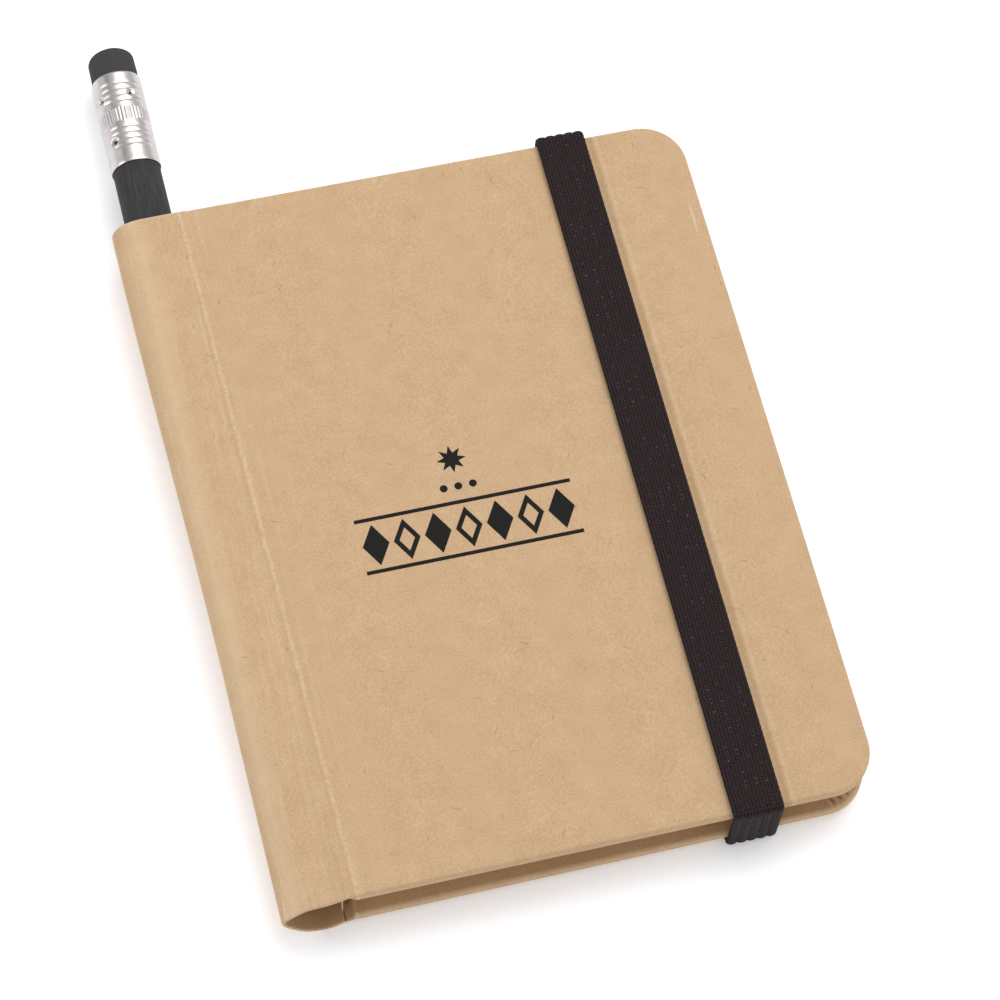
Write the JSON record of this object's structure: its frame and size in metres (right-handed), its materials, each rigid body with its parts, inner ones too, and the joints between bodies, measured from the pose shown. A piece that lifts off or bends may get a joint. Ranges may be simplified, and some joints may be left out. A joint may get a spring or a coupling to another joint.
{
  "type": "pocket notebook",
  "caption": "Pocket notebook with a kraft paper hard cover, a pencil in a tube along the spine and an elastic strap that holds it shut.",
  "frame": {"origin": "centre of the back cover's outer face, midway between its crease and its fore edge and between head and tail", "axes": "+Z out of the front cover, +Y towards the head where the pencil's eraser stands out, +X towards the fore edge where the covers open"},
  "size_m": [0.0832, 0.1388, 0.011],
  "materials": {
    "kraft": "matte kraft paper",
    "board": "grey pressed board",
    "page": "uncoated natural white paper",
    "gauze": "open cotton weave",
    "glue": "dried bookbinding glue",
    "ink": "matte black printing ink",
    "elastic": "ribbed knitted elastic",
    "black_wood": "black stained wood, unvarnished",
    "graphite": "graphite with a dull shine",
    "ferrule": "bright rolled aluminium",
    "eraser": "matte dark grey rubber"
  },
  "bodies": {
    "spine": {"spine_wrap": "kraft", "spine_liner": "kraft", "spine_gauze": "gauze", "spine_glue": "glue", "section_1": "page"},
    "back_cover": {"back_board": "board", "back_wrap": "kraft", "back_pastedown": "page", "elastic_head_end": "elastic", "elastic_tail_end": "elastic"},
    "front_cover": {"front_board": "board", "front_wrap": "kraft", "front_pastedown": "page", "cover_print": "ink"},
    "back_flyleaf": {"back_flyleaf": "page"},
    "section_2": {"section_2": "page"},
    "section_3": {"section_3": "page"},
    "section_4": {"section_4": "page"},
    "section_5": {"section_5": "page"},
    "section_6": {"section_6": "page"},
    "front_flyleaf": {"front_flyleaf": "page"},
    "elastic": {"elastic_loop": "elastic"},
    "pencil": {"pencil_casing": "black_wood", "pencil_lead": "graphite", "pencil_ferrule": "ferrule", "pencil_eraser": "eraser"}
  },
  "joints": [
    {"name": "front_cover_open", "type": "hinge", "parent": "spine", "child": "front_cover", "pos_m": [-0.0371, 0, 0.00982], "axis": [0, -1, 0], "range_deg": [0, 178]},
    {"name": "back_cover_open", "type": "hinge", "parent": "spine", "child": "back_cover", "pos_m": [-0.0371, 0, 0], "axis": [0, 1, 0], "range_deg": [0, 150]},
    {"name": "section_2_turn", "type": "hinge", "parent": "spine", "child": "section_2", "pos_m": [-0.0371, 0, 0.00982], "axis": [0, -1, 0], "range_deg": [0, 3.57]},
    {"name": "section_3_turn", "type": "hinge", "parent": "spine", "child": "section_3", "pos_m": [-0.0371, 0, 0.00982], "axis": [0, -1, 0], "range_deg": [0, 17.81]},
    {"name": "section_4_turn", "type": "hinge", "parent": "spine", "child": "section_4", "pos_m": [-0.0371, 0, 0.00982], "axis": [0, -1, 0], "range_deg": [0, 160.21]},
    {"name": "section_5_turn", "type": "hinge", "parent": "spine", "child": "section_5", "pos_m": [-0.0371, 0, 0.00982], "axis": [0, -1, 0], "range_deg": [0, 167.33]},
    {"name": "section_6_turn", "type": "hinge", "parent": "spine", "child": "section_6", "pos_m": [-0.0371, 0, 0.00982], "axis": [0, -1, 0], "range_deg": [0, 171.78]},
    {"name": "front_flyleaf_turn", "type": "hinge", "parent": "spine", "child": "front_flyleaf", "pos_m": [-0.0371, 0, 0.00982], "axis": [0, -1, 0], "range_deg": [0, 175.34]},
    {"name": "back_flyleaf_turn", "type": "hinge", "parent": "spine", "child": "back_flyleaf", "pos_m": [-0.0371, 0, 0], "axis": [0, 1, 0], "range_deg": [0, 139.51]},
    {"name": "elastic_pull", "type": "slide", "parent": "back_cover", "child": "elastic", "axis": [1, 0, 0], "range_m": [0, 0.026], "stiffness_N_per_m": 60, "deforming": ["elastic_loop"]},
    {"name": "pencil_slide", "type": "slide", "parent": "spine", "child": "pencil", "axis": [0, 1, 0], "range_m": [0, 0.095]}
  ],
  "couplings": [
    {"joint": "section_2_turn", "follows": "front_cover_open", "ratio": 0.02},
    {"joint": "section_3_turn", "follows": "front_cover_open", "ratio": 0.1},
    {"joint": "section_4_turn", "follows": "front_cover_open", "ratio": 0.9},
    {"joint": "section_5_turn", "follows": "front_cover_open", "ratio": 0.94},
    {"joint": "section_6_turn", "follows": "front_cover_open", "ratio": 0.965},
    {"joint": "front_flyleaf_turn", "follows": "front_cover_open", "ratio": 0.985},
    {"joint": "back_flyleaf_turn", "follows": "back_cover_open", "ratio": 0.93}
  ]
}
